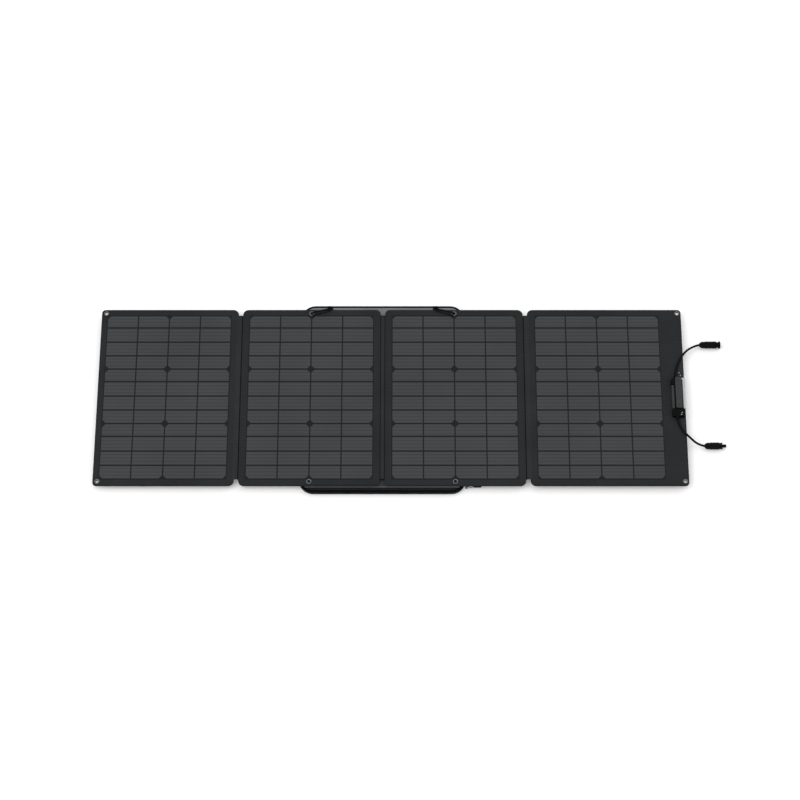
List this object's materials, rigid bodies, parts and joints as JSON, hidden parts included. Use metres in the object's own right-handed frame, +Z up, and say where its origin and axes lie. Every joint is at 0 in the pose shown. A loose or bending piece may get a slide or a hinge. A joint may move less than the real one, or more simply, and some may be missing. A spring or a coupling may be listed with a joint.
{
  "type": "folding solar blanket",
  "caption": "Long flat solar blanket of hinged stiff panels lying on its padded carrying case, which opens into a stand; junction box with two short cables.",
  "frame": {"origin": "on the ground under the centre of the object without its cables", "axes": "+X along the blanket towards the junction box, +Y towards the hooks and the case's spine, +Z up out of the cells"},
  "size_m": [1.6141, 0.552, 0.0344],
  "materials": {
    "back_fabric": "matt coated woven fabric",
    "stiff_board": "plain board, hidden",
    "front_fabric": "ribbed coated fabric",
    "cell_laminate": "satin polymer film over grey cells",
    "steel": "satin plated",
    "circuit_board": "solder resist",
    "grey_plastic": "fine moulded texture",
    "light_rubber": "matt",
    "cable_sheath": "satin sheath",
    "case_fabric": "woven, padded",
    "case_lining": "brushed lining",
    "webbing": "woven webbing",
    "black_plastic": "fine moulded texture"
  },
  "bodies": {
    "case": {"case_upper_pad": "case_fabric", "case_upper_binding": "webbing", "case_lining": "case_lining", "case_spine": "webbing", "zip_tape": "webbing"},
    "stand_leg": {"case_leg_pad": "case_fabric", "case_leg_binding": "webbing"},
    "zip": {"zip_slider": "steel", "zip_pull_ring": "steel", "zip_pull_tab": "webbing"},
    "middle_strip": {"fold_strip_2": "front_fabric"},
    "panel_1": {"panel_1_back_cover": "back_fabric", "panel_1_board": "stiff_board", "panel_1_front_border": "front_fabric", "panel_1_laminate": "cell_laminate", "grommet_1_far": "steel", "grommet_1_near": "steel"},
    "panel_2": {"panel_2_back_cover": "back_fabric", "panel_2_board": "stiff_board", "panel_2_front_border": "front_fabric", "panel_2_laminate": "cell_laminate", "grommet_2_far": "steel", "grommet_2_near": "steel", "fold_strip_1": "front_fabric", "hook_left": "black_plastic", "hook_strap_left": "webbing"},
    "panel_3": {"panel_3_back_cover": "back_fabric", "panel_3_board": "stiff_board", "panel_3_front_border": "front_fabric", "panel_3_laminate": "cell_laminate", "grommet_3_far": "steel", "grommet_3_near": "steel", "fold_strip_3": "front_fabric", "hook_right": "black_plastic", "hook_strap_right": "webbing"},
    "panel_4": {"panel_4_back_cover": "back_fabric", "panel_4_board": "stiff_board", "panel_4_front_border": "front_fabric", "panel_4_laminate": "cell_laminate", "grommet_4_far": "steel", "grommet_4_near": "steel", "junction_box_base": "black_plastic", "junction_box_lid": "grey_plastic", "junction_box_diode_board": "circuit_board", "lid_screw_1": "steel", "lid_screw_2": "steel", "junction_box_side_rib": "grey_plastic", "junction_box_end_piece": "black_plastic", "cable_clamp": "black_plastic", "edge_guard": "light_rubber", "cable_gland_upper": "black_plastic", "cable_gland_lower": "black_plastic", "cable_upper": "cable_sheath", "cable_lower": "cable_sheath", "connector_upper_nut": "black_plastic", "connector_upper_socket": "black_plastic", "connector_lower_nut": "black_plastic", "connector_lower_plug": "black_plastic"},
    "gate_left": {"hook_gate_left": "steel"},
    "gate_right": {"hook_gate_right": "steel"}
  },
  "joints": [
    {"name": "blanket_lift", "type": "slide", "parent": "case", "child": "middle_strip", "axis": [0, 0, 1], "range_m": [0, 0.63]},
    {"name": "middle_fold_left", "type": "hinge", "parent": "middle_strip", "child": "panel_2", "pos_m": [-0.0291, 0, 0.0162], "axis": [0, -1, 0], "range_deg": [0, 90]},
    {"name": "middle_fold_right", "type": "hinge", "parent": "middle_strip", "child": "panel_3", "pos_m": [-0.0171, 0, 0.0162], "axis": [0, 1, 0], "range_deg": [0, 90]},
    {"name": "outer_fold_left", "type": "hinge", "parent": "panel_2", "child": "panel_1", "pos_m": [-0.3942, 0, 0.0223], "axis": [0, 1, 0], "range_deg": [0, 178]},
    {"name": "outer_fold_right", "type": "hinge", "parent": "panel_3", "child": "panel_4", "pos_m": [0.348, 0, 0.0223], "axis": [0, -1, 0], "range_deg": [0, 178]},
    {"name": "stand_leg_hinge", "type": "hinge", "parent": "case", "child": "stand_leg", "pos_m": [-0.0231, 0.2763, 0.0081], "axis": [1, 0, 0], "range_deg": [0, 75]},
    {"name": "zip_travel", "type": "slide", "parent": "case", "child": "zip", "axis": [0, 1, 0], "range_m": [0, 0.46]},
    {"name": "gate_left_hinge", "type": "hinge", "parent": "panel_2", "child": "gate_left", "pos_m": [-0.1681, 0.2537, 0.0249], "axis": [0, 0, -1], "range_deg": [0, 6], "stiffness_Nm_per_rad": 0.02},
    {"name": "gate_right_hinge", "type": "hinge", "parent": "panel_3", "child": "gate_right", "pos_m": [0.1219, 0.2537, 0.0249], "axis": [0, 0, 1], "range_deg": [0, 6], "stiffness_Nm_per_rad": 0.02}
  ],
  "couplings": [
    {"joint": "blanket_lift", "follows": "middle_fold_left", "m_per_rad": 0.4},
    {"joint": "middle_fold_right", "follows": "middle_fold_left", "ratio": 1},
    {"joint": "outer_fold_left", "follows": "middle_fold_left", "ratio": 1.9777},
    {"joint": "outer_fold_right", "follows": "middle_fold_left", "ratio": 1.9777}
  ]
}
